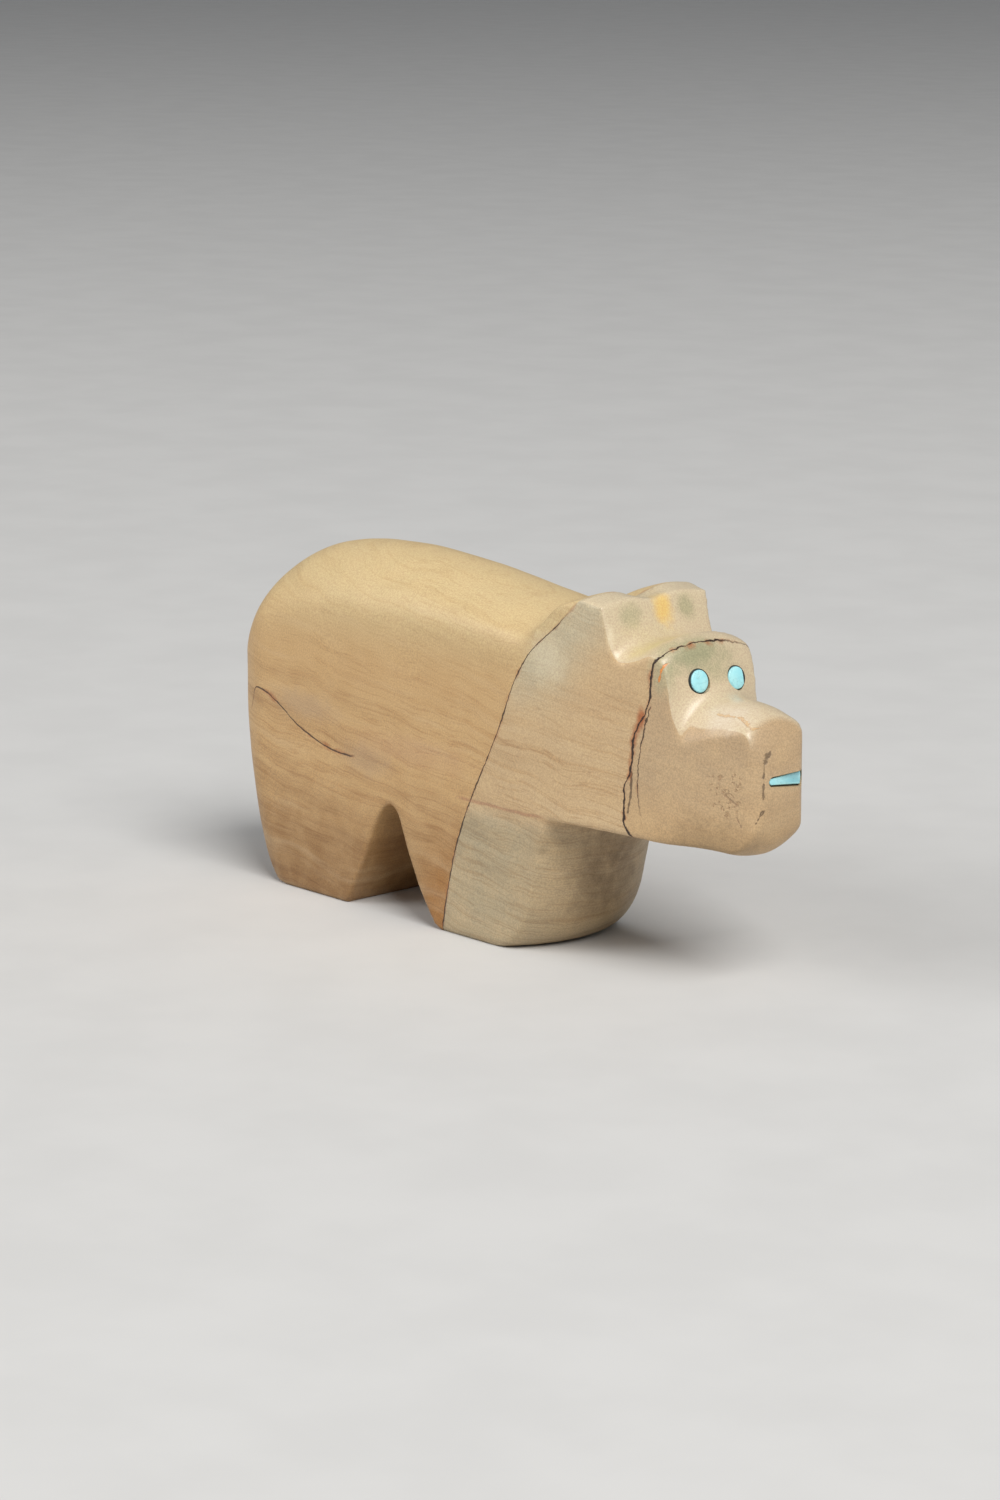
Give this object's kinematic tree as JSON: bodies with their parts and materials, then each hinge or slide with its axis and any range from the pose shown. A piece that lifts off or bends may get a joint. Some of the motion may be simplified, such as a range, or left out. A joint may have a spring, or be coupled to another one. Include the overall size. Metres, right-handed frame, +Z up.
{
  "type": "carved bear figurine",
  "caption": "Small slab-carved stone bear with turquoise inlays for its eyes and mouth, standing on two broad leg blocks.",
  "frame": {"origin": "centre of the bounding box on the plane the feet stand on", "axes": "+X forward along the body towards the muzzle, +Y to the bear's left, +Z up"},
  "size_m": [0.0939, 0.02, 0.0458],
  "materials": {
    "carving_stone": "satin",
    "turquoise": "gloss",
    "dark_cement": "matte"
  },
  "bodies": {
    "root": {"stone_bear": "carving_stone", "eye_inlay_right": "turquoise", "eye_inlay_left": "turquoise", "mouth_inlay": "turquoise", "eye_cement_right": "dark_cement", "eye_cement_left": "dark_cement", "mouth_cement": "dark_cement"}
  },
  "joints": []
}
